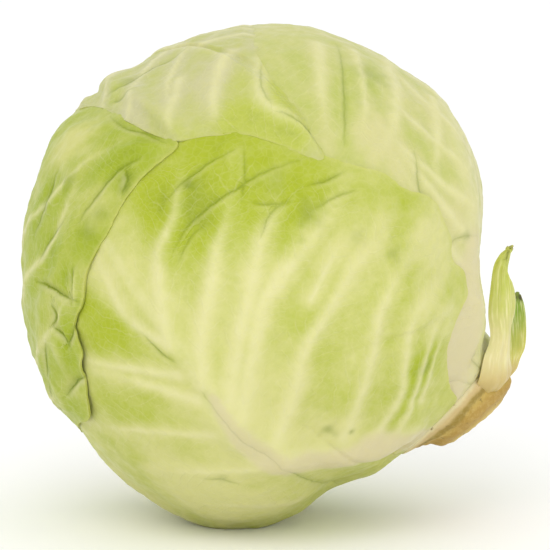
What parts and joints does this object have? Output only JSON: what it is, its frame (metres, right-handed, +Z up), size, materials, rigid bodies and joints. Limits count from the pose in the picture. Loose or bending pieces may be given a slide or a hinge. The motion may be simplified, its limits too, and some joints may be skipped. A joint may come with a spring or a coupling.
{
  "type": "cabbage head",
  "caption": "Whole white cabbage head lying on its side, with overlapping wrapper leaves, a cut stump and torn outer leaf stalks.",
  "frame": {"origin": "middle of the small flat spot that the head lies on", "axes": "+Z up as it lies, +X towards the stump as seen from the front, +Y away from the viewer"},
  "size_m": [0.1817, 0.1723, 0.1795],
  "materials": {
    "heart_leaf": "waxy pale cabbage leaf",
    "stump": "dried cut cabbage stem, fibrous and matt",
    "leaf_back": "waxy yellow-green cabbage leaf",
    "leaf_right": "waxy pale cabbage leaf with a thick white stalk",
    "leaf_front": "waxy yellow-green cabbage leaf with pale veins",
    "leaf_left": "waxy crinkled green cabbage leaf",
    "leaf_top": "waxy pale cabbage leaf",
    "torn_stalk_front": "fleshy pale leaf stalk, torn",
    "torn_stalk_rear": "fleshy green leaf stalk, torn and dried at its end"
  },
  "bodies": {
    "root": {"heart": "heart_leaf", "stump": "stump", "leaf_back": "leaf_back", "leaf_right": "leaf_right", "leaf_front": "leaf_front", "leaf_left": "leaf_left", "leaf_top": "leaf_top", "torn_stalk_front": "torn_stalk_front", "torn_stalk_rear": "torn_stalk_rear"}
  },
  "joints": []
}
